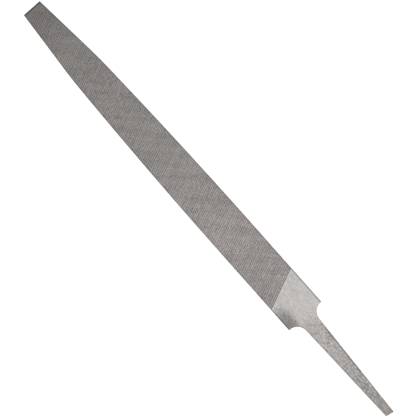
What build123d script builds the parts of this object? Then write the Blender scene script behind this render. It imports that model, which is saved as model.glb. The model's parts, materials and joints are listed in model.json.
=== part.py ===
"""Flat hand file with a bare tang, nominal 200 mm, bastard cut: one forging of tool steel.

Frame: the origin is where the tang leaves the shoulders, on the long axis at mid thickness.
+X runs along the blade to its point, +Y across its width, +Z out of its upper face. Units are mm.

The blade is parallel near the heel, then its edges and faces close in towards the point. The faces
carry straight rows of teeth that lean across the blade. The heel, between the shoulders and the
first row, is left plain and flat. The lower face is the upper one after half a turn about the long
axis, so the rows lean the same way to a hand that turns the file over.
"""

import math
import os
from build123d import *

# Blade, in plan.
blade_length = 200.0        # shoulders to point
blade_width = 21.0          # over the parallel stretch
belly_length = 105.0        # long arc in which the edges begin to close in
belly_angle = 2.0           # lean of each edge where that arc ends, degrees
blend_length = 12.0         # short arc between the belly and the point
point_length = 33.0         # straight, tapered stretch before the end
point_angle = 4.75          # lean of each edge there, degrees

# Blade, from the side.
blade_thickness = 5.0
taper_length = 120.0        # stretch over which both faces slope in to the point
tip_thickness = 3.0
tip_break = 0.3             # chamfer around the square end of the point

# Tang.
tang_length = 63.0
tang_root_width = 9.2
tang_end_width = 4.4
tang_end_thickness = 2.6
tang_lean = 0.8             # towards +Y, degrees
tang_end_slant = 11.0       # of the sheared end, which leaves the -Y corner longer, degrees
tang_break = 0.6            # chamfer along the corners of the tang
shoulder_radius = 5.6       # hollow between the tang and each shoulder

# Rows of teeth.
uncut_heel = 17.5           # shoulders to the first row, on the long axis
row_pitch = 0.99            # from row to row, square to them
row_angle = 23.0            # of a row from square across the blade, degrees
tooth_depth = 0.36
tooth_land = 0.06           # flat left on each crest
tooth_rake = 15.0           # lean of the cutting side from upright, degrees

clear = 0.5                 # how far a cutter stands clear of what it cuts


def outline_side():
    """One long edge of the blade in plan, from its shoulder to its point, as joined lines and arcs."""
    half = blade_width / 2
    lean_a, lean_b = math.radians(belly_angle), math.radians(point_angle)
    parallel = blade_length - belly_length - blend_length - point_length
    belly_radius = belly_length / math.sin(lean_a)
    blend_radius = blend_length / (math.sin(lean_b) - math.sin(lean_a))
    straight = Line((0, half), (parallel, half))
    belly = JernArc(straight @ 1, (1, 0), belly_radius, -belly_angle)
    blend = JernArc(belly @ 1, belly % 1, blend_radius, belly_angle - point_angle)
    point = PolarLine(blend @ 1, point_length / math.cos(lean_b), -point_angle)
    return [straight, belly, blend, point]


def tang_corner(x, y):
    """A point on the tang drawn straight along X, moved to where the lean of the tang puts it."""
    moved = Vector(x, y).rotate(Axis.Z, -tang_lean)
    return moved.X, moved.Y


def plan_outline():
    """The whole file seen from above."""
    half, root, end = blade_width / 2, tang_root_width / 2, tang_end_width / 2
    slant = end * math.tan(math.radians(tang_end_slant))
    upper = outline_side()
    lower = [mirror(edge, about=Plane.XZ) for edge in upper]
    point_end = Line(upper[-1] @ 1, lower[-1] @ 1)
    tang = Polyline(
        (0, half),
        (0, root),
        tang_corner(-tang_length + slant, end),
        tang_corner(-tang_length - slant, -end),
        (0, -root),
        (0, -half),
    )
    face = make_face([*upper, *lower, point_end, tang])
    inner = [corner for corner in face.vertices() if abs(corner.X) < 0.01 and abs(corner.Y) < root + 0.01]
    return fillet(inner, min(shoulder_radius, 0.95 * (half - root)))


def side_outline():
    """The thickness of the file along its length, drawn in the XZ plane."""
    blade, point, end = blade_thickness / 2, tip_thickness / 2, tang_end_thickness / 2
    reach = tang_length + tang_end_width
    end_height = blade - (blade - end) * reach / tang_length
    tang = Line((-reach, end_height), (0, blade))
    flat = Line((0, blade), (blade_length - taper_length, blade))
    taper = Line(flat @ 1, (blade_length, point))
    over = Line(taper @ 1, (blade_length + clear, point))
    upper = [tang, flat, taper, over]
    lower = [mirror(edge, about=Plane.XZ) for edge in upper]
    closing = [Line(over @ 1, lower[-1] @ 1), Line(tang @ 0, lower[0] @ 0)]
    return Plane.XZ * make_face([*upper, *lower, *closing])


def blank():
    """The forging before it is cut: plan and side profile together, with its corners broken."""
    plan = extrude(plan_outline(), blade_thickness, both=True)
    body = plan & extrude(side_outline(), blade_width, both=True)
    at_tip = [edge for edge in body.edges() if edge.bounding_box().min.X > blade_length - 0.01]
    body = chamfer(at_tip, tip_break)
    long_edges = [
        edge
        for edge in body.edges()
        if edge.bounding_box().min.X < -tang_length / 2 and edge.bounding_box().size.Z < blade_thickness / 2
    ]
    return chamfer(long_edges, tang_break)


def face_point(x):
    """Height of the upper face at x, and its slope there in degrees."""
    fall = math.atan2((blade_thickness - tip_thickness) / 2, taper_length)
    along = max(x - (blade_length - taper_length), 0)
    slope = math.degrees(fall) if along > 0 else 0
    return blade_thickness / 2 - along * math.tan(fall), slope


def tooth_gap(pitch, depth, length):
    """What one chisel stroke leaves empty: steep towards the heel side, long slope towards the point."""
    lean = depth * math.tan(math.radians(tooth_rake))
    gap = pitch - tooth_land
    profile = Polyline((0, clear), (0, 0), (lean, -depth), (gap, 0), (gap, clear), close=True)
    return extrude(Plane.XZ * make_face(profile), length / 2, both=True)


def face_gaps():
    """Gaps between the rows of the upper face."""
    turn = math.radians(row_angle)
    step = row_pitch / math.cos(turn)
    gap = tooth_gap(row_pitch, tooth_depth, (blade_width + 4 * row_pitch) / math.cos(turn))
    past_point = blade_width / 2 * math.tan(turn)
    count = int((blade_length + past_point - uncut_heel) / step) + 1
    gaps = []
    for number in range(count):
        x = uncut_heel + number * step
        height, slope = face_point(x)
        gaps.append(Pos(x, 0, height) * Rot(0, slope, 0) * Rot(0, 0, row_angle) * gap)
    return gaps


half_turn = Rot(180, 0, 0)
upper_gaps = face_gaps()
lower_gaps = [half_turn * gap for gap in upper_gaps]
flat_file = blank() - upper_gaps - lower_gaps

os.makedirs("parts", exist_ok=True)
export_step(flat_file, "parts/flat_file.step")
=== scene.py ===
"""Flat hand file with a bare tang, in tool steel, laid on a light table.

The row frame is used throughout, in metres: the origin is where the tang leaves the shoulders, on
the long axis at mid thickness, with +X to the point, +Y across the blade and +Z out of the upper
face.

The blank is shaped from one block. Combs of wedges, one wedge for each chisel stroke, then cut the
teeth: a shallow first cut, a deeper second cut that crosses it, and a single cut on the narrow
edges. What is left loose between two rows is swept away.
"""

import json
import logging
import math
from collections.abc import Callable
from dataclasses import dataclass, field
from enum import Enum
from typing import Any

import bmesh
import bpy
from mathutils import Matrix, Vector

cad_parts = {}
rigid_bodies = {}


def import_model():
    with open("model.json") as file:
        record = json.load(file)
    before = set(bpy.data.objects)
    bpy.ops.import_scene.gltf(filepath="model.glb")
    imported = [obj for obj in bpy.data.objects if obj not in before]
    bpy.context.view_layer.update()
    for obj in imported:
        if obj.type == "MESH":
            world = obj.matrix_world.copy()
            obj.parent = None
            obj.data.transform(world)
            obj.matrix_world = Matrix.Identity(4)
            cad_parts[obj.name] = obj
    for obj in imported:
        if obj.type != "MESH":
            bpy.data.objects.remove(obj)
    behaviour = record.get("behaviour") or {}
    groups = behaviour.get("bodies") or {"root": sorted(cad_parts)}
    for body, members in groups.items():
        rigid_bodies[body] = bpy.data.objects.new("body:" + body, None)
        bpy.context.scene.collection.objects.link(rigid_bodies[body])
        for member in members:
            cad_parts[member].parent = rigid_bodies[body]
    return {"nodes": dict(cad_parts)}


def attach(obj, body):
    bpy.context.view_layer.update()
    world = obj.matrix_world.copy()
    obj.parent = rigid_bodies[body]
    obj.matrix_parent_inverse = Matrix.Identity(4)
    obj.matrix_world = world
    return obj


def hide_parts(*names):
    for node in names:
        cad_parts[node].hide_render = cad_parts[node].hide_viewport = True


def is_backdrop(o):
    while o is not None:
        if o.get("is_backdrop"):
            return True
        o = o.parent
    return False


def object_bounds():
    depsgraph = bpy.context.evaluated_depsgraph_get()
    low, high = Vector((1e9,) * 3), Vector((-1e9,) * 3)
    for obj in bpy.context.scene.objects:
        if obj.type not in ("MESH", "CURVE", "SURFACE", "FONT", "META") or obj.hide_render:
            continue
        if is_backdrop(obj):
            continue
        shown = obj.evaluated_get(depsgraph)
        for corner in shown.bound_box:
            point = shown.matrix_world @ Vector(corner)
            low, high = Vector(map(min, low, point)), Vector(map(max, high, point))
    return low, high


LOG = logging.getLogger("flat_file")
Point = tuple[float, float, float]
Colour = tuple[float, float, float, float]
Span = tuple[float, float]

MM = 0.001
NEAR = 1e-6  # two places closer than this are one place
SQUARE_ON = 0.9  # how much of a normal or an edge lies along the axis that it is said to follow
RAIL_WIDTH = 0.1  # width and height of a rail, more than any comb's
NOISE_MIDDLE = 0.5  # the value that noise varies around


class Part(Enum):
    """What a pick chooses, and the word Blender has for it."""

    CORNER = "VERT"
    EDGE = "EDGE"
    FACE = "FACE"


class Surface(Enum):
    """What a set of rows is cut in: the axis its rows run along, and the axis that looks out."""

    FACE = (1, 2)
    NARROW_EDGE = (2, 1)

    @property
    def across(self) -> int:
        """The axis that the rows run along."""
        return self.value[0]

    @property
    def up(self) -> int:
        """The axis that looks out of the surface."""
        return self.value[1]


class Region(Enum):
    """The parts of the surface that are finished differently, and their material slots."""

    PLAIN = 0
    CUT_FACE = 1
    CUT_EDGE = 2


# -------------------------------------------------------------------------------------------------
# Sizes
# -------------------------------------------------------------------------------------------------


@dataclass(frozen=True)
class BladeSizes:
    """The blade: parallel, then a long belly, a short blend and a straight taper to the point."""

    length: float = 200.0 * MM
    half_width: float = 10.5 * MM
    half_thickness: float = 2.5 * MM
    half_point: float = 1.5 * MM
    parallel: float = 50.0 * MM
    belly: float = 105.0 * MM
    belly_lean: float = math.radians(2.0)
    blend: float = 12.0 * MM
    point_lean: float = math.radians(4.75)
    level: float = 80.0 * MM
    station: float = 5.0 * MM

    def side(self, x: float) -> float:
        """Half the width of the blade at x.

        Args:
            x: distance from the shoulders.

        Returns:
            Distance from the long axis to the narrow edge.
        """
        if x <= self.parallel:
            return self.half_width
        radius = self.belly_radius
        if x <= self.parallel + self.belly:
            return self.half_width - radius + math.sqrt(radius**2 - (x - self.parallel) ** 2)
        side = self.half_width - radius * (1 - math.cos(self.belly_lean))
        past = x - self.parallel - self.belly
        blend_radius = self.blend / (math.sin(self.point_lean) - math.sin(self.belly_lean))
        if past <= self.blend:
            lean = math.asin(math.sin(self.belly_lean) + past / blend_radius)
            return side - blend_radius * (math.cos(self.belly_lean) - math.cos(lean))
        side -= blend_radius * (math.cos(self.belly_lean) - math.cos(self.point_lean))
        return side - (past - self.blend) * math.tan(self.point_lean)

    def face(self, x: float) -> float:
        """Half the thickness of the blade at x.

        Args:
            x: distance from the shoulders.

        Returns:
            Height of the upper face over mid thickness.
        """
        return self.half_thickness - max(x - self.level, 0.0) * self.fall

    @property
    def belly_radius(self) -> float:
        """Radius of the long arc."""
        return self.belly / math.sin(self.belly_lean)

    @property
    def fall(self) -> float:
        """How much each face comes in for each unit of length, past the level stretch."""
        return (self.half_thickness - self.half_point) / (self.length - self.level)

    def stations(self) -> list[float]:
        """Where the blank gets a ring of corners between the shoulders and the point."""
        count = round((self.length - self.parallel) / self.station)
        return [self.parallel + self.station * number for number in range(count)]


@dataclass(frozen=True)
class TangSizes:
    """The tang, and the hollows that join it to the shoulders."""

    length: float = 63.0 * MM
    half_root: float = 4.6 * MM
    half_end: float = 2.2 * MM
    half_end_thickness: float = 1.3 * MM
    lean: float = math.radians(0.8)
    end_slant: float = math.radians(11.0)
    hollow: float = 5.6 * MM
    hollow_steps: int = 9
    station: float = 6.0 * MM

    def slope(self, sign: int) -> float:
        """How much one side comes in for each unit of length behind the root.

        Args:
            sign: 1 for the +Y side, -1 for the -Y side.

        Returns:
            The slope, positive where the tang narrows.
        """
        return (self.half_root - self.half_end) / self.length - sign * math.tan(self.lean)

    def side(self, back: float, sign: int) -> float:
        """Distance from the long axis to one side of the tang or of its hollow.

        Args:
            back: distance behind the shoulders.
            sign: 1 for the +Y side, -1 for the -Y side.

        Returns:
            The distance, counted positive away from the axis on either side.
        """
        spread = -self.slope(sign)
        stretch = math.sqrt(1 + spread**2)
        centre = self.half_root + spread * self.hollow + self.hollow * stretch
        touches = self.hollow * (1 + spread / stretch)
        if back < touches:
            return centre - math.sqrt(max(self.hollow**2 - (self.hollow - back) ** 2, 0.0))
        return self.half_root + spread * back

    def face(self, back: float, root: float) -> float:
        """Half the thickness of the tang: that of its root through the hollows, then drawn down.

        Args:
            back: distance behind the shoulders.
            root: half the thickness at the root.

        Returns:
            Height of the upper face over mid thickness.
        """
        share = max(back - self.hollow, 0.0) / (self.length - self.hollow)
        return root - (root - self.half_end_thickness) * share

    def stations(self) -> list[float]:
        """Distances behind the shoulders where the tang gets a ring of corners."""
        quarter = math.pi / 2
        hollow = [
            self.hollow * (1 - math.cos(quarter * step / self.hollow_steps))
            for step in range(1, self.hollow_steps + 1)
        ]
        straight = self.length - self.hollow
        count = int(straight / self.station)
        return hollow + [self.hollow + straight * step / count for step in range(1, count + 1)]


@dataclass(frozen=True)
class CornerSizes:
    """How far corners are broken: one width, and the share of it that each edge gets."""

    width: float = 0.6 * MM
    steps: int = 4
    point: float = 0.5
    blade: float = 0.4
    tang: float = 1.0
    tang_end: float = 0.7
    reach: float = 0.4 * MM
    end_reach: float = 0.5 * MM
    hollow_share: float = 0.98


@dataclass(frozen=True)
class ChiselCut:
    """One set of rows: how far apart, how deep and how steep they are, and how they lean.

    The wedges stand a hair over the surface (lift), reach well clear of it (clear), leave a
    narrow crest between them (land), and their gullets stray a little (uneven).
    """

    name: str
    pitch: float
    depth: float
    lean: float
    first: float
    land: float = 0.06 * MM
    rake: float = math.radians(15.0)
    lift: float = 0.01 * MM
    clear: float = 0.3 * MM
    uneven: float = 0.04 * MM
    seed: int = 1

    @property
    def step(self) -> float:
        """Distance from row to row along the blade."""
        return self.pitch / math.cos(self.lean)

    def count(self, length: float, half_width: float) -> int:
        """How many rows it takes to pass the point of a blade.

        Args:
            length: length of the blade.
            half_width: half the width that the rows cross.

        Returns:
            The number of rows.
        """
        reach = length + half_width * abs(math.tan(self.lean)) - self.first
        return int(reach / self.step) + 1


FIRST_CUT = ChiselCut(
    name="first_cut",
    pitch=0.93 * MM,
    depth=0.20 * MM,
    lean=math.radians(-46.0),
    first=36.0 * MM,
    uneven=0.0,
    seed=3,
)
SECOND_CUT = ChiselCut(
    name="second_cut",
    pitch=0.99 * MM,
    depth=0.36 * MM,
    lean=math.radians(23.0),
    first=17.5 * MM,
    seed=5,
)
EDGE_CUT = ChiselCut(
    name="edge_cut",
    pitch=1.0 * MM,
    depth=0.20 * MM,
    lean=math.radians(-20.0),
    first=22.5 * MM,
    land=0.12 * MM,
    seed=7,
)


# -------------------------------------------------------------------------------------------------
# Hand work on a mesh
# -------------------------------------------------------------------------------------------------


def add_block(name: str, low: Point, high: Point) -> bpy.types.Object:
    """Adds a block.

    Args:
        name: name of the object.
        low: its lowest corner.
        high: its highest corner.

    Returns:
        The block, with its place and size in its mesh.
    """
    centre = [(a + b) / 2 for a, b in zip(low, high, strict=True)]
    size = [b - a for a, b in zip(low, high, strict=True)]
    bpy.ops.object.select_all(action="DESELECT")
    bpy.ops.mesh.primitive_cube_add(size=1.0, location=centre, scale=size)
    block = bpy.context.object
    block.name = name
    block.data.name = name
    bpy.ops.object.transform_apply(location=True, rotation=True, scale=True)
    return block


class Workpiece:
    """One mesh, picked by place and shaped with Blender's own tools."""

    def __init__(self, body: bpy.types.Object) -> None:
        """Takes the object in hand."""
        self.body = body

    def hold(self) -> None:
        """Makes this the only selected object and the active one."""
        bpy.ops.object.select_all(action="DESELECT")
        self.body.select_set(True)
        bpy.context.view_layer.objects.active = self.body

    def open(self) -> None:
        """Starts edit mode on this piece."""
        self.hold()
        bpy.ops.object.mode_set(mode="EDIT")

    def close(self) -> None:
        """Ends edit mode."""
        bpy.ops.object.mode_set(mode="OBJECT")

    def pick(self, part: Part, wanted: Callable[[Any], bool]) -> int:
        """Selects corners, edges or faces by a test on each.

        Args:
            part: what is picked.
            wanted: says whether a corner, edge or face is picked.

        Returns:
            How many were picked.
        """
        bpy.ops.mesh.select_mode(type=part.value)
        bpy.ops.mesh.select_all(action="DESELECT")
        mesh = bmesh.from_edit_mesh(self.body.data)
        rows = {Part.CORNER: mesh.verts, Part.EDGE: mesh.edges, Part.FACE: mesh.faces}[part]
        picked = [item for item in rows if wanted(item)]
        for item in picked:
            item.select_set(True)
        mesh.select_flush_mode()
        bmesh.update_edit_mesh(self.body.data)
        return len(picked)

    def split(self, place: Point, normal: Point) -> None:
        """Cuts a ring of new corners through the whole piece.

        Args:
            place: a point on the cutting plane.
            normal: the plane's normal.
        """
        bpy.ops.mesh.select_all(action="SELECT")
        bpy.ops.mesh.bisect(plane_co=place, plane_no=normal)

    def pull(self, move: Point) -> None:
        """Extrudes what is picked.

        Args:
            move: how far and which way.
        """
        bpy.ops.mesh.extrude_region_move(TRANSFORM_OT_translate={"value": move})

    def finish_with(self, kind: str, settings: dict[str, Any]) -> None:
        """Adds a modifier and applies it.

        Args:
            kind: type of the modifier.
            settings: its settings by name.
        """
        self.hold()
        modifier = self.body.modifiers.new(kind.title(), kind)
        for name, value in settings.items():
            setattr(modifier, name, value)
        bpy.ops.object.modifier_apply(modifier=modifier.name)


class Rail:
    """A lattice that lays a straight comb of wedges along the surface it cuts."""

    def __init__(
        self, length: float, station: float, shift: Callable[[float], Point]
    ) -> None:
        """Adds the lattice along +X and moves each of its stations.

        Args:
            length: how far it reaches.
            station: distance between its stations.
            shift: says how far what lies at x is moved.
        """
        count = round(length / station) + 1
        bpy.ops.object.select_all(action="DESELECT")
        bpy.ops.object.add(type="LATTICE", location=(length / 2, 0, 0))
        self.body: bpy.types.Object = bpy.context.object
        self.body.scale = (length, RAIL_WIDTH, RAIL_WIDTH)
        cage = self.body.data
        cage.points_u, cage.points_v, cage.points_w = count, 2, 2
        cage.interpolation_type_u = "KEY_LINEAR"
        cage.interpolation_type_v = "KEY_LINEAR"
        cage.interpolation_type_w = "KEY_LINEAR"
        bpy.context.view_layer.update()
        for point in cage.points:
            x = (point.co.x + 0.5) * length
            move = Vector(shift(x))
            local = Vector((move.x / length, move.y / RAIL_WIDTH, move.z / RAIL_WIDTH))
            point.co_deform = point.co + local
        bpy.context.view_layer.update()

    def lay(self, comb: Workpiece) -> None:
        """Bends a comb along the rail."""
        comb.finish_with("LATTICE", {"object": self.body})

    def clear_away(self) -> None:
        """Removes the lattice once its combs are laid."""
        bpy.data.objects.remove(self.body)


class Comb(Workpiece):
    """All the wedges of one set of rows, in one mesh of separate wedges."""

    def __init__(
        self, cut: ChiselCut, count: int, half_reach: float, surface: Surface
    ) -> None:
        """Makes the first wedge, leans it and repeats it along +X.

        Args:
            cut: the set of rows.
            count: how many rows there are.
            half_reach: half the length of a wedge.
            surface: what the rows are cut in.
        """
        self.cut, self.across, self.up = cut, surface.across, surface.up
        width = cut.step - cut.land / math.cos(cut.lean)
        low, high = [0.0, 0.0, 0.0], [width, 0.0, 0.0]
        low[self.across], high[self.across], high[self.up] = -half_reach, half_reach, cut.clear
        super().__init__(add_block(cut.name, tuple(low), tuple(high)))
        self._sharpen(width)
        self._lean(half_reach)
        self.finish_with(
            "ARRAY",
            {
                "count": count,
                "use_relative_offset": False,
                "use_constant_offset": True,
                "constant_offset_displace": (cut.step, 0, 0),
            },
        )
        self._place()

    def _sharpen(self, width: float) -> None:
        """Draws the wedge's underside down to the line that becomes the bottom of a gullet.

        Args:
            width: width of the wedge's back.
        """
        down, flatten, slide = [0.0] * 3, [1.0] * 3, [0.0] * 3
        deep = self.cut.depth + self.cut.lift
        down[self.up] = -deep
        flatten[0] = 0.0
        bottom = deep * math.tan(self.cut.rake) / math.cos(self.cut.lean)
        slide[0] = bottom - width / 2
        self.open()
        self.pick(Part.FACE, lambda face: face.normal[self.up] < -SQUARE_ON)
        self.pull(tuple(down))
        bpy.ops.transform.resize(value=flatten)
        bpy.ops.transform.translate(value=slide)
        bpy.ops.mesh.select_all(action="SELECT")
        bpy.ops.mesh.remove_doubles(threshold=NEAR)
        bpy.ops.mesh.normals_make_consistent(inside=False)
        self.close()

    def _lean(self, half_reach: float) -> None:
        """Slides the two ends of the wedge apart along X, so that the row leans.

        Args:
            half_reach: half the length of a wedge.
        """
        slide = half_reach * math.tan(self.cut.lean)
        self.open()
        for sign in (1, -1):
            self.pick(Part.CORNER, lambda corner, sign=sign: corner.co[self.across] * sign > 0)
            bpy.ops.transform.translate(value=(-sign * slide, 0, 0))
        self.close()

    def _place(self) -> None:
        """Moves the comb to its first row, a hair up, and makes the gullets a little uneven."""
        move = [self.cut.first, 0.0, 0.0]
        move[self.up] = self.cut.lift
        self.open()
        bpy.ops.mesh.select_all(action="SELECT")
        bpy.ops.transform.translate(value=move)
        self.pick(Part.CORNER, lambda corner: corner.co[self.up] < -self.cut.depth / 2)
        bpy.ops.transform.vertex_random(offset=self.cut.uneven, uniform=1.0, seed=self.cut.seed)
        self.close()

    def turned_over(self) -> Workpiece:
        """A copy of the comb after half a turn about the long axis, for the other side.

        Returns:
            The copy, with its own mesh.
        """
        self.hold()
        bpy.ops.object.duplicate()
        copy = Workpiece(bpy.context.object)
        copy.open()
        bpy.ops.mesh.select_all(action="SELECT")
        bpy.ops.transform.rotate(value=math.pi, orient_axis="X", center_override=(0, 0, 0))
        copy.close()
        return copy


# -------------------------------------------------------------------------------------------------
# Finishes
# -------------------------------------------------------------------------------------------------


class Signal:
    """A number that changes over the surface, written with Python's operators."""

    def __init__(self, board: "Board", socket: bpy.types.NodeSocket) -> None:
        """Keeps the output that carries the number."""
        self.board, self.socket = board, socket

    def _math(self, operation: str, *values: "Signal | float") -> "Signal":
        """Adds a Math node with these values, in this order."""
        return self.board.add("ShaderNodeMath", {"operation": operation}, dict(enumerate(values)))

    def __add__(self, other: "Signal | float") -> "Signal":
        """self + other."""
        return self._math("ADD", self, other)

    def __sub__(self, other: "Signal | float") -> "Signal":
        """self - other."""
        return self._math("SUBTRACT", self, other)

    def __rsub__(self, other: float) -> "Signal":
        """other - self."""
        return self._math("SUBTRACT", other, self)

    def __mul__(self, other: "Signal | float") -> "Signal":
        """self * other."""
        return self._math("MULTIPLY", self, other)

    def __truediv__(self, other: "Signal | float") -> "Signal":
        """self / other."""
        return self._math("DIVIDE", self, other)

    def __abs__(self) -> "Signal":
        """The size of self without its sign."""
        return self._math("ABSOLUTE", self)

    def at_least(self, other: "Signal | float") -> "Signal":
        """The larger of the two."""
        return self._math("MAXIMUM", self, other)

    def at_most(self, other: "Signal | float") -> "Signal":
        """The smaller of the two."""
        return self._math("MINIMUM", self, other)

    def ramp(self, start: float, end: float) -> "Signal":
        """0 before start and 1 after end, with a soft rise between. start may be the larger.

        Args:
            start: where the rise begins.
            end: where it ends.

        Returns:
            The eased share.
        """
        settings = {"interpolation_type": "SMOOTHSTEP"}
        if start < end:
            return self.board.add("ShaderNodeMapRange", settings, {0: self, 1: start, 2: end})
        return 1.0 - self.board.add("ShaderNodeMapRange", settings, {0: self, 1: end, 2: start})

    __radd__ = __add__
    __rmul__ = __mul__


class Board:
    """A material's nodes. Every node comes from add()."""

    def __init__(self, name: str) -> None:
        """Starts an empty material.

        Args:
            name: name of the material.
        """
        self.material = bpy.data.materials.new(name)
        self.material.use_nodes = True
        self.tree = self.material.node_tree
        self.tree.nodes.clear()
        self.place = self.add("ShaderNodeTexCoord", {}, {}, "Object")
        self.x = self.add("ShaderNodeSeparateXYZ", {}, {0: self.place}, "X")
        split = self.x.socket.node
        self.y, self.z = Signal(self, split.outputs["Y"]), Signal(self, split.outputs["Z"])

    def add(
        self,
        kind: str,
        settings: dict[str, Any],
        sockets: dict[int | str, Any],
        output: int | str = 0,
    ) -> Signal:
        """Adds a node.

        Args:
            kind: its type.
            settings: its settings by name.
            sockets: values or signals for its inputs, by number or name.
            output: the output that is handed back.

        Returns:
            That output as a signal.
        """
        node = self.tree.nodes.new(kind)
        for name, value in settings.items():
            setattr(node, name, value)
        for name, value in sockets.items():
            if isinstance(value, Signal):
                self.tree.links.new(value.socket, node.inputs[name])
            else:
                node.inputs[name].default_value = value
        return Signal(self, node.outputs[output]) if len(node.outputs) else Signal(self, None)

    def noise(
        self, grain: Point, detail: float = 3.0, rough: float = 0.55, turn: float = 0.0
    ) -> Signal:
        """Noise with a grain of that many metres along X, Y and Z.

        Args:
            grain: size of the grain along each axis.
            detail: how many finer layers are added.
            rough: how strong the finer layers are.
            turn: turn of the grain about Z.

        Returns:
            A signal around one half.
        """
        turned = self.add(
            "ShaderNodeMapping",
            {"vector_type": "POINT"},
            {"Vector": self.place, "Rotation": (0.0, 0.0, -turn)},
        )
        scaled = self.add(
            "ShaderNodeMapping",
            {"vector_type": "POINT"},
            {"Vector": turned, "Scale": tuple(1.0 / size for size in grain)},
        )
        return self.add(
            "ShaderNodeTexNoise",
            {},
            {"Vector": scaled, "Scale": 1.0, "Detail": detail, "Roughness": rough},
            "Fac",
        )

    def inward(self, blade: BladeSizes) -> Signal:
        """Distance from the nearer narrow edge, measured across the face.

        Args:
            blade: sizes of the blade.

        Returns:
            The distance, in metres.
        """
        past = (self.x - blade.parallel).at_least(0.0)
        arc = blade.half_width - past * past * (0.5 / blade.belly_radius)
        point = blade.side(blade.length) + (blade.length - self.x) * math.tan(blade.point_lean)
        return arc.at_most(point) - abs(self.y)

    def blend(self, share: Signal, start: Signal | Colour, end: Signal | Colour) -> Signal:
        """A colour between two colours.

        Args:
            share: 0 gives start and 1 gives end.
            start: one colour.
            end: the other.

        Returns:
            The mixed colour.
        """
        sockets = {"Factor": share, 6: start, 7: end}
        settings = {"data_type": "RGBA", "blend_type": "MIX", "clamp_factor": True}
        return self.add("ShaderNodeMix", settings, sockets, 2)

    def shade(self, colour: Signal | Colour, level: Signal) -> Signal:
        """A colour made lighter or darker by a number.

        Args:
            colour: the colour.
            level: what it is multiplied by.

        Returns:
            The new colour.
        """
        base = colour if isinstance(colour, Signal) else colour[:3]
        grey = self.add("ShaderNodeCombineXYZ", {}, {0: level, 1: level, 2: level})
        return self.add("ShaderNodeVectorMath", {"operation": "MULTIPLY"}, {0: base, 1: grey})

    def steel(
        self, colour: Signal, rough: Signal, height: Signal, relief: float
    ) -> bpy.types.Material:
        """Ends the material in metal.

        Args:
            colour: its colour.
            rough: its roughness.
            height: its fine relief, from 0 to 1.
            relief: how high that relief is, in metres.

        Returns:
            The material.
        """
        bump = self.add(
            "ShaderNodeBump",
            {},
            {"Strength": 1.0, "Distance": relief, "Height": height},
            "Normal",
        )
        shader = self.add(
            "ShaderNodeBsdfPrincipled",
            {},
            {"Base Color": colour, "Roughness": rough, "Metallic": 1.0, "Normal": bump},
        )
        self.add("ShaderNodeOutputMaterial", {}, {"Surface": shader})
        return self.material


@dataclass(frozen=True)
class CutSteel:
    """Chisel-cut faces: grey and matt, with bright crests, painted shade in the gullets and a fine
    uneven grain.

    A grain is the size of a noise, a span is where a change starts and ends, and a share is how
    much something counts.
    """

    blade: BladeSizes
    first: ChiselCut
    crest: Colour = (0.515, 0.484, 0.469, 1.0)
    # Colour at the bottom of a gullet: painted shade.
    gullet_shade: Colour = (0.45, 0.423, 0.410, 1.0)
    gullet_depth: float = 0.34 * MM
    cloud_grain: Point = (14 * MM, 7 * MM, 7 * MM)
    band_grain: Point = (3.4 * MM, 30 * MM, 30 * MM)
    tooth_grain: Point = (0.7 * MM, 0.7 * MM, 0.7 * MM)
    speck_grain: Point = (0.25 * MM, 0.25 * MM, 0.25 * MM)
    point_shade_span: Span = (20 * MM, 190 * MM)
    tip_shade_span: Span = (172 * MM, 198 * MM)
    end_span: Span = (1.1 * MM, 0.6 * MM)
    rim_shade_span: Span = (0.9 * MM, 0.3 * MM)
    base_share: float = 0.02
    cloud_share: float = 0.16
    band_share: float = 0.42
    tooth_share: float = 1.5
    speck_share: float = 0.12
    heel_share: float = 1.01
    point_shade_share: float = 0.34
    tip_shade_share: float = 0.13
    rim_shade_share: float = 0.2
    end_share: float = 2.2
    rough: float = 0.36
    rough_speck: float = 0.16
    rough_gullet: float = 0.06
    relief: float = 0.008 * MM

    def material(self) -> bpy.types.Material:
        """Builds the material.

        Returns:
            The material of the toothed faces.
        """
        board = Board("cut_steel")
        blade = self.blade
        surface = blade.half_thickness - (board.x - blade.level).at_least(0.0) * blade.fall
        depth = (surface - abs(board.z)) / self.gullet_depth
        cloud = board.noise(self.cloud_grain, 2.0)
        band = board.noise(self.band_grain, 1.0, 0.4, self.first.lean)
        tooth = board.noise(self.tooth_grain, 2.0)
        speck = board.noise(self.speck_grain, 2.0)
        # Painted shade in the gullets: the colour darkens with depth below the face, down to the
        # darker colour at the bottom.
        gullet_shade_mask = depth.ramp(0.0, 1.0)
        colour = board.blend(gullet_shade_mask, self.crest, self.gullet_shade)
        # Painted shade: the cut faces darken from the heel towards the point, and more over the
        # last stretch to the tip.
        point_shade, tip_shade = board.x.ramp(*self.point_shade_span), board.x.ramp(*self.tip_shade_span)
        # Painted shade along the narrow edges; the same darkening also runs across the end of the
        # point.
        end = (blade.length - board.x).ramp(*self.end_span) * self.end_share
        rim_shade = board.inward(blade).ramp(*self.rim_shade_span).at_least(end)
        level = (
            self.base_share
            + self.cloud_share * cloud
            + self.band_share * band
            + self.tooth_share * tooth
            + self.speck_share * speck
        )
        level = level * (self.heel_share - self.point_shade_share * point_shade - self.tip_shade_share * tip_shade)
        level = level * (1.0 - self.rim_shade_share * rim_shade)
        rough = self.rough + self.rough_speck * speck + self.rough_gullet * gullet_shade_mask
        return board.steel(board.shade(colour, level), rough, speck, self.relief)


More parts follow.
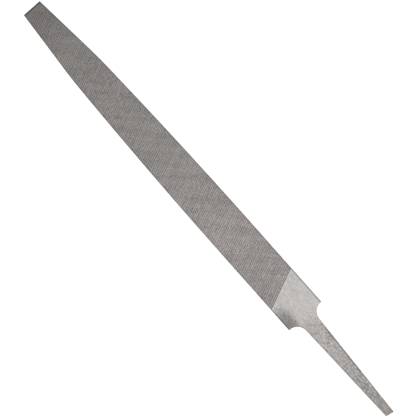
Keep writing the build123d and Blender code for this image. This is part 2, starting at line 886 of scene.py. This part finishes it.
@dataclass(frozen=True)
class CutEdgeSteel:
    """Narrow edges: a light single cut on ground steel, a little darker than the heel."""

    colour: Colour = (0.36, 0.35, 0.335, 1.0)
    cloud_grain: Point = (6 * MM, 2 * MM, 2 * MM)
    scratch_grain: Point = (3 * MM, 0.12 * MM, 0.12 * MM)
    base_share: float = 0.80
    cloud_share: float = 0.2
    scratch_share: float = 0.2
    rough: float = 0.36
    rough_scratch: float = 0.15
    relief: float = 0.006 * MM

    def material(self) -> bpy.types.Material:
        """Builds the material.

        Returns:
            The material of the narrow edges.
        """
        board = Board("edge_steel")
        cloud = board.noise(self.cloud_grain, 3.0)
        scratch = board.noise(self.scratch_grain, 3.0)
        level = self.base_share + self.cloud_share * cloud + self.scratch_share * scratch
        rough = self.rough + self.rough_scratch * scratch
        return board.steel(board.shade(self.colour, level), rough, scratch, self.relief)


@dataclass(frozen=True)
class PlainSteel:
    """Ground heel, brushed lengthwise, that passes into the forged, tempered skin of the tang."""

    blade: BladeSizes
    tang: TangSizes
    cut: ChiselCut
    ground: Colour = (0.52, 0.496, 0.478, 1.0)
    forged: Colour = (0.60, 0.568, 0.546, 1.0)
    scale: Colour = (0.18, 0.170, 0.163, 1.0)
    # Colour of the painted dark reflection on the heel.
    dark_reflection: Colour = (0.24, 0.227, 0.217, 1.0)
    brush_grain: Point = (14 * MM, 0.16 * MM, 0.16 * MM)
    streak_grain: Point = (2.6 * MM, 0.7 * MM, 0.7 * MM)
    cloud_grain: Point = (5 * MM, 3 * MM, 3 * MM)
    patch_grain: Point = (0.95 * MM, 0.5 * MM, 0.5 * MM)
    speck_grain: Point = (0.6 * MM, 0.6 * MM, 0.6 * MM)
    forging_wander: float = 5.0 * MM
    forging_span: Span = (2.0 * MM, -7.0 * MM)
    end_span: Span = (-12 * MM, -58 * MM)
    spot_span: Span = (0.47, 0.60)
    burr_span: Span = (0.45 * MM, 0.05 * MM)
    rim_shade_span: Span = (0.9 * MM, 0.35 * MM)
    tang_side_shade_width: Span = (1.3 * MM, 0.7 * MM)
    tang_side_shade_start: Span = (-7 * MM, -14 * MM)
    tang_side_shade_stop: Span = (-46 * MM, -30 * MM)
    base_share: float = 0.12
    brush_share: float = 0.18
    streak_share: float = 0.62
    cloud_share: float = 0.16
    speck_share: float = 0.80
    burr_share: float = 0.3
    end_share: float = 0.07
    rim_shade_share: float = 0.42
    tang_side_shade_share: float = 0.6
    spot_share: float = 0.46
    spot_growth: float = 0.10
    spot_spread: float = 0.06
    rough: float = 0.30
    rough_brush: float = 0.12
    rough_forging: float = 0.12
    rough_spots: float = 0.1
    relief: float = 0.012 * MM
    dark_reflection_centre: Span = (3.0 * MM, 8.5 * MM)
    dark_reflection_reach: Span = (10.5 * MM, 5.2 * MM)
    dark_reflection_ragged: float = 2.6
    dark_reflection_span: Span = (1.15, -0.1)
    dark_reflection_height: Span = (0.0, 2.0 * MM)

    def material(self) -> bpy.types.Material:
        """Builds the material.

        Returns:
            The material of the heel and the tang.
        """
        board = Board("plain_steel")
        x, y = board.x, board.y
        brush = board.noise(self.brush_grain, 4.0, 0.65)
        streak = board.noise(self.streak_grain, 3.0)
        cloud = board.noise(self.cloud_grain, 3.0)
        patch = board.noise(self.patch_grain, 3.0, 0.6)
        speck = board.noise(self.speck_grain, 2.0)

        forging = (x + self.forging_wander * (cloud - NOISE_MIDDLE)).ramp(*self.forging_span)
        end = x.ramp(*self.end_span)
        spots = (patch + self.spot_spread * end).ramp(*self.spot_span) * forging
        colour = board.blend(forging, self.ground, self.forged)
        colour = board.blend(
            spots * (self.spot_share + self.spot_growth * end), colour, self.scale
        )
        # Painted reflection: a soft dark patch on the upper face of the heel beside the +Y
        # shoulder.
        colour = board.blend(self._dark_reflection(board, patch), colour, self.dark_reflection)

        burr = self.cut.first - y * math.tan(self.cut.lean) - x
        bright = burr.ramp(*self.burr_span)
        # Painted shade along the narrow edges of the heel.
        rim_shade = board.inward(self.blade).ramp(*self.rim_shade_span) * (1.0 - forging)
        level = (
            self.base_share
            + self.brush_share * brush
            + self.streak_share * streak
            + self.cloud_share * cloud
            + self.speck_share * speck
        )
        level = (level + self.burr_share * bright) * (1.0 - self.end_share * end)
        level = level * (1.0 - self.rim_shade_share * rim_shade)
        # Painted shade along the -Y side of the tang.
        level = level * (1.0 - self.tang_side_shade_share * self._tang_side_shade(board) * patch)
        rough = (
            self.rough
            + self.rough_brush * brush
            + self.rough_forging * forging
            + self.rough_spots * spots
        )
        height = brush * (1.0 - forging) + (patch + speck) * forging
        return board.steel(board.shade(colour, level), rough, height, self.relief)

    def _tang_side_shade(self, board: Board) -> Signal:
        """Painted shade: a dark line just inside the -Y side of the tang.

        Args:
            board: the material's nodes.

        Returns:
            How strong the line is.
        """
        x = board.x
        inside = board.y + self.tang.half_root + x * self.tang.slope(-1)
        return inside.ramp(*self.tang_side_shade_width) * x.ramp(*self.tang_side_shade_start) * x.ramp(*self.tang_side_shade_stop)

    def _dark_reflection(self, board: Board, patch: Signal) -> Signal:
        """A painted dark reflection: a soft dark patch on the heel beside the +Y shoulder, on the
        upper face only.

        Args:
            board: the material's nodes.
            patch: noise that makes its outline ragged.

        Returns:
            How strong the stain is.
        """
        along = (board.x - self.dark_reflection_centre[0]) / self.dark_reflection_reach[0]
        across = (board.y - self.dark_reflection_centre[1]) / self.dark_reflection_reach[1]
        ragged = self.dark_reflection_ragged * (patch - NOISE_MIDDLE)
        reach = along * along + across * across + ragged
        return reach.ramp(*self.dark_reflection_span) * board.z.ramp(*self.dark_reflection_height)


# -------------------------------------------------------------------------------------------------
# The file
# -------------------------------------------------------------------------------------------------


@dataclass
class FlatFile:
    """The whole file: one blank, three sets of rows and three finishes."""

    blade: BladeSizes = field(default_factory=BladeSizes)
    tang: TangSizes = field(default_factory=TangSizes)
    corners: CornerSizes = field(default_factory=CornerSizes)
    overrun: float = 20 * MM
    overhang: float = 1.0 * MM
    edge_skin: float = 0.02 * MM
    edge_tilt: float = 0.6
    smooth_below: float = math.radians(25.0)

    def build(self) -> bpy.types.Object:
        """Shapes the blank, cuts it and dresses it.

        Returns:
            The finished piece, at the origin of the row frame.
        """
        blank = self._blade()
        self._tang(blank)
        self._break_corners(blank)
        LOG.info("blank: %d faces", len(blank.body.data.polygons))
        self._cut(blank, FIRST_CUT, Surface.FACE)
        self._cut(blank, SECOND_CUT, Surface.FACE)
        self._cut(blank, EDGE_CUT, Surface.NARROW_EDGE)
        self._blow_off(blank)
        self._dress(blank)
        return blank.body

    def _blade(self) -> Workpiece:
        """A block with a ring of corners at each station, each drawn in to its own size."""
        blade = self.blade
        low = (0.0, -blade.half_width, -blade.half_thickness)
        high = (blade.length, blade.half_width, blade.half_thickness)
        blank = Workpiece(add_block("file_body", low, high))
        blank.open()
        stations = blade.stations()
        for x in stations:
            blank.split((x, 0, 0), (1, 0, 0))
        for x in [*stations, blade.length]:
            blank.pick(Part.CORNER, lambda corner, x=x: abs(corner.co.x - x) < NEAR)
            narrow = blade.side(x) / blade.half_width
            thin = blade.face(x) / blade.half_thickness
            bpy.ops.transform.resize(value=(1, narrow, thin))
        blank.close()
        return blank

    def _tang(self, blank: Workpiece) -> None:
        """Draws the tang out of the blade's end, ring by ring, through the hollows and on.

        Args:
            blank: what is shaped.
        """
        tang, root = self.tang, self.blade.half_thickness

        def root_face(face: Any) -> bool:
            """Whether a face is the one that the tang is drawn from."""
            return face.normal.x < -SQUARE_ON and abs(face.calc_center_median().y) < MM

        blank.open()
        for sign in (1, -1):
            blank.pick(Part.FACE, lambda face: face.normal.x < -SQUARE_ON)
            place = (0, sign * tang.side(0.0, sign), 0)
            bpy.ops.mesh.bisect(plane_co=place, plane_no=(0, 1, 0))
        blank.pick(Part.FACE, root_face)
        here, wide, middle, thick = 0.0, *self._ring(0.0), root
        for back in tang.stations():
            new_wide, new_middle = self._ring(back)
            new_thick = tang.face(back, root)
            blank.pull((here - back, new_middle - middle, 0))
            bpy.ops.transform.resize(value=(1, new_wide / wide, new_thick / thick))
            here, wide, middle, thick = back, new_wide, new_middle, new_thick
        self._clear_hollows(blank)
        slide = tang.half_end * math.tan(tang.end_slant)
        for sign in (1, -1):
            blank.pick(
                Part.CORNER,
                lambda corner, sign=sign: corner.co.x < -tang.length + NEAR
                and (corner.co.y - middle) * sign > 0,
            )
            bpy.ops.transform.translate(value=(sign * slide, 0, 0))
        blank.close()

    def _clear_hollows(self, blank: Workpiece) -> None:
        """Makes one flat face of the heel and the hollows: removes the rings across it.

        Args:
            blank: what is shaped.
        """
        level, last = self.blade.half_thickness - NEAR, -self.tang.hollow + NEAR

        def across(edge: Any) -> bool:
            """Whether an edge crosses the face from hollow to hollow.

            Args:
                edge: an edge of the blank.

            Returns:
                True where it does.
            """
            start, end = (corner.co for corner in edge.verts)
            same_place = abs(start.x - end.x) < NEAR and last < start.x < NEAR
            return same_place and start.y * end.y < 0 and min(abs(start.z), abs(end.z)) > level

        blank.pick(Part.EDGE, across)
        bpy.ops.mesh.dissolve_edges(use_verts=False)

    def _ring(self, back: float) -> tuple[float, float]:
        """Half the width of the tang and where its middle is.

        Args:
            back: distance behind the shoulders.

        Returns:
            Half width, and the Y of the middle.
        """
        left, right = self.tang.side(back, 1), self.tang.side(back, -1)
        return (left + right) / 2, (left - right) / 2

    def _break_corners(self, blank: Workpiece) -> None:
        """Rounds the long corners: well on the tang, less on the hollows and the blade.

        Args:
            blank: what is shaped.
        """
        mesh = blank.body.data
        weights = mesh.attributes.new("bevel_weight_edge", "FLOAT", "EDGE")
        for edge in mesh.edges:
            start, end = (mesh.vertices[index].co for index in edge.vertices)
            weights.data[edge.index].value = self._corner_share(start, end)
        settings = {
            "width": self.corners.width,
            "segments": self.corners.steps,
            "limit_method": "WEIGHT",
            "use_clamp_overlap": True,
            "miter_outer": "MITER_ARC",
        }
        blank.finish_with("BEVEL", settings)
        spent = mesh.attributes.get("bevel_weight_edge")
        if spent is not None:
            mesh.attributes.remove(spent)

    def _corner_share(self, start: Vector, end: Vector) -> float:
        """How much of the corner width an edge of the blank gets.

        Args:
            start: one end of the edge.
            end: its other end.

        Returns:
            A share from 0 to 1.
        """
        corners, tang, blade = self.corners, self.tang, self.blade
        middle, run = (start + end) / 2, end - start
        upright = abs(run.z) > abs(run.x) + abs(run.y)
        crossing = abs(run.y) > SQUARE_ON * run.length
        behind = middle.x < -tang.hollow * corners.hollow_share
        if middle.x > blade.length - NEAR:
            return corners.point
        if middle.x > NEAR:
            return 0.0 if upright or crossing else corners.blade
        if middle.x > -NEAR:
            inner = blade.half_width - NEAR if upright else tang.side(0.0, 1) - corners.reach
            return corners.blade if abs(middle.y) > inner else 0.0
        if middle.x < -tang.length + corners.end_reach:
            return corners.tang_end
        if upright or (crossing and behind):
            return 0.0
        outline = tang.side(-middle.x, 1 if middle.y > 0 else -1)
        if abs(abs(middle.y) - outline) > corners.reach:
            return 0.0
        rise = corners.tang - corners.blade
        return corners.tang if behind else corners.blade - rise * middle.x / tang.hollow

    def _cut(self, blank: Workpiece, cut: ChiselCut, surface: Surface) -> None:
        """Cuts one set of rows into both faces or both narrow edges.

        Args:
            blank: what is cut.
            cut: the set of rows.
            surface: what it is cut in.
        """
        blade = self.blade
        half, shift = {
            Surface.FACE: (blade.half_width, lambda x: (0, 0, blade.face(x))),
            Surface.NARROW_EDGE: (blade.half_thickness, lambda x: (0, blade.side(x), 0)),
        }[surface]
        count = cut.count(blade.length, half)
        comb = Comb(cut, count, half + self.overhang, surface)
        rail = Rail(blade.length + self.overrun, blade.station, shift)
        rail.lay(comb)
        rail.clear_away()
        for cutter in (comb.turned_over(), comb):
            settings = {"operation": "DIFFERENCE", "solver": "MANIFOLD", "object": cutter.body}
            blank.finish_with("BOOLEAN", settings)
            bpy.data.objects.remove(cutter.body)
        LOG.info("%s: %d rows on each side", cut.name, count)

    def _blow_off(self, blank: Workpiece) -> None:
        """Removes crumbs that hang between two rows: all that is not joined to the tang.

        Args:
            blank: what is shaped.
        """
        blank.open()
        blank.pick(Part.CORNER, lambda corner: corner.co.x < -NEAR)
        bpy.ops.mesh.select_linked()
        bpy.ops.mesh.select_all(action="INVERT")
        bpy.ops.mesh.delete(type="VERT")
        blank.close()

    def _region(self, centre: Vector, normal: Vector) -> Region:
        """Which finish a face of the finished mesh takes.

        Args:
            centre: its middle.
            normal: the way it looks.

        Returns:
            Its region.
        """
        lean = math.tan(SECOND_CUT.lean) * math.copysign(1, centre.z)
        if centre.x < SECOND_CUT.first - centre.y * lean - NEAR:
            return Region.PLAIN
        inside = self.blade.side(centre.x) - abs(centre.y)
        if inside < EDGE_CUT.depth + self.edge_skin and abs(normal.z) < self.edge_tilt:
            return Region.CUT_EDGE
        return Region.CUT_FACE

    def _dress(self, blank: Workpiece) -> None:
        """Gives each face its finish and shades the rounded corners smooth.

        Args:
            blank: the finished shape.
        """
        mesh = blank.body.data
        mesh.materials.clear()
        finishes = {
            Region.PLAIN: PlainSteel(self.blade, self.tang, SECOND_CUT).material(),
            Region.CUT_FACE: CutSteel(self.blade, FIRST_CUT).material(),
            Region.CUT_EDGE: CutEdgeSteel().material(),
        }
        for region in Region:
            mesh.materials.append(finishes[region])
        for face in mesh.polygons:
            face.material_index = self._region(face.center, face.normal).value
        blank.hold()
        bpy.ops.object.shade_smooth_by_angle(angle=self.smooth_below)
        blank.finish_with("WEIGHTED_NORMAL", {"mode": "FACE_AREA", "keep_sharp": True})


# -------------------------------------------------------------------------------------------------
# Studio
# -------------------------------------------------------------------------------------------------


@dataclass(frozen=True)
class Studio:
    """A white light table under a soft overhead panel, and a camera looking straight down."""

    table_size: float = 12.0
    table_glow: float = 0.75
    table_tone: Colour = (0.9, 0.9, 0.9, 1.0)
    table_rough: float = 0.9
    table_gloss: float = 0.1
    panel_size: float = 2.0
    panel_height: float = 1.7
    panel_centre: tuple[float, float] = (-0.05, 0.0)
    panel_power: float = 7.4
    key_size: float = 1.1
    key_place: Point = (-1.10, -0.45, 1.35)
    key_power: float = 1.1
    room: Colour = (0.40, 0.40, 0.40, 1.0)
    lens: float = 200.0
    sensor: float = 36.0
    view_width: float = 0.2037
    view_centre: tuple[float, float] = (0.0692, 0.0004)
    tang_bearing: float = math.radians(48.378)

    def table(self, height: float) -> bpy.types.Object:
        """Lays the table.

        Args:
            height: height of its surface.

        Returns:
            The table, marked as not part of the object.
        """
        bpy.ops.object.select_all(action="DESELECT")
        bpy.ops.mesh.primitive_plane_add(size=self.table_size, location=(0, 0, height))
        table = bpy.context.object
        table.name = "light_table"
        bpy.ops.object.transform_apply(location=True, rotation=True, scale=True)
        material = bpy.data.materials.new("light_table")
        material.use_nodes = True
        shader = material.node_tree.nodes["Principled BSDF"]
        shader.inputs["Base Color"].default_value = self.table_tone
        shader.inputs["Roughness"].default_value = self.table_rough
        shader.inputs["Specular IOR Level"].default_value = self.table_gloss
        shader.inputs["Emission Color"].default_value = (1.0, 1.0, 1.0, 1.0)
        shader.inputs["Emission Strength"].default_value = self.table_glow
        table.data.materials.append(material)
        table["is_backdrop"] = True
        return table

    def lights(self) -> None:
        """Hangs the panel and sets the tone of the room."""
        overhead = (*self.panel_centre, self.panel_height)
        self._panel("overhead_panel", overhead, self.panel_size, self.panel_power)
        self._panel("heel_side_panel", self.key_place, self.key_size, self.key_power)
        world = bpy.data.worlds.new("studio")
        world.use_nodes = True
        world.node_tree.nodes["Background"].inputs["Color"].default_value = self.room
        bpy.context.scene.world = world
        bpy.context.scene.view_settings.view_transform = "Standard"

    def _panel(self, name: str, place: Point, size: float, power: float) -> None:
        """Hangs one round soft panel, turned to face the file.

        Args:
            name: name of the light.
            place: where it hangs.
            size: its diameter.
            power: its power in watts.
        """
        bpy.ops.object.light_add(type="AREA", location=place)
        panel = bpy.context.object
        panel.name = name
        panel.rotation_euler = (-Vector(place)).to_track_quat("-Z", "Y").to_euler()
        panel.data.shape = "DISK"
        panel.data.size = size
        panel.data.energy = power

    def camera(self, height: float) -> bpy.types.Object:
        """Puts the camera over the file, turned so that the point is up and to the left.

        Args:
            height: height of the file's upper face.

        Returns:
            The camera.
        """
        distance = self.view_width * self.lens / self.sensor
        place = (*self.view_centre, height + distance)
        bpy.ops.object.camera_add(location=place, rotation=(0, 0, self._roll()))
        camera = bpy.context.object
        camera.name = "overhead_camera"
        camera.data.lens = self.lens
        camera.data.sensor_width = self.sensor
        camera.data.clip_start, camera.data.clip_end = 0.01, 50.0
        bpy.context.scene.camera = camera
        return camera

    def _roll(self) -> float:
        """Turn of the camera about the vertical that brings the tang to its bearing."""
        return math.pi + self.tang_bearing


def main() -> None:
    """Loads the frame, builds the file in it, lays the table, lights it and sets the camera."""
    logging.basicConfig(level=logging.INFO, format="%(name)s: %(message)s")
    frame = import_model()
    cad_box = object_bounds()
    LOG.info("frame: %s", ", ".join(frame["nodes"]))

    body = FlatFile().build()
    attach(body, "root")
    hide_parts("flat_file")
    LOG.info("%s: %d faces", body.name, len(body.data.polygons))

    low, high = cad_box
    studio = Studio()
    studio.table(low.z)
    studio.lights()
    studio.camera(high.z)


if __name__ == "__main__":
    main()
